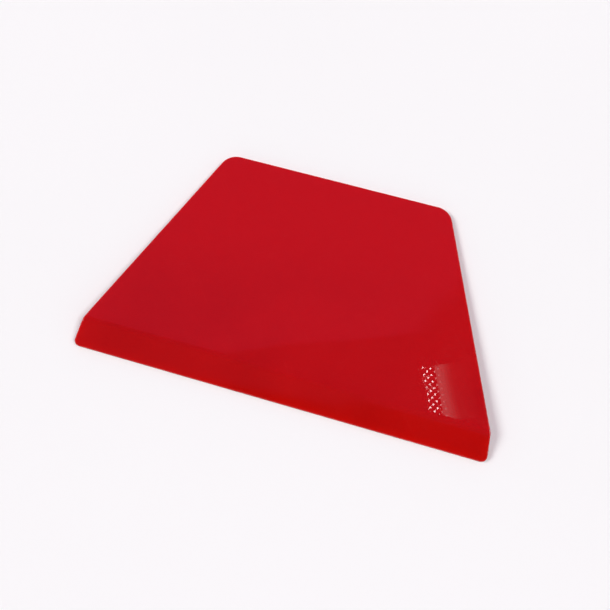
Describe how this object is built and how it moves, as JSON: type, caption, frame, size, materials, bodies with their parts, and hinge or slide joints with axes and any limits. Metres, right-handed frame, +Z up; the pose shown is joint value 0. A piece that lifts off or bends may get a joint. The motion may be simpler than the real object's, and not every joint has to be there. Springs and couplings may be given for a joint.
{
  "type": "squeegee applicator",
  "caption": "Bent-lip plastic squeegee: a flat trapezoid plate, narrow at the rear, with a short lip folded down along its wide working edge.",
  "frame": {"origin": "middle of the ground that the sheet covers when it lies top side up, on its working edge and on the underside of its rear edge", "axes": "+X along the working edge, +Y from the working edge towards the narrow rear edge, +Z up; the plate slopes down 2.01 degrees towards +Y"},
  "size_m": [0.1494, 0.086, 0.0046],
  "materials": {
    "red_gloss_plastic": "polished, slightly translucent, moulded red plastic with faint waviness and fine handling scratches"
  },
  "bodies": {
    "root": {"squeegee_sheet": "red_gloss_plastic"}
  },
  "joints": []
}
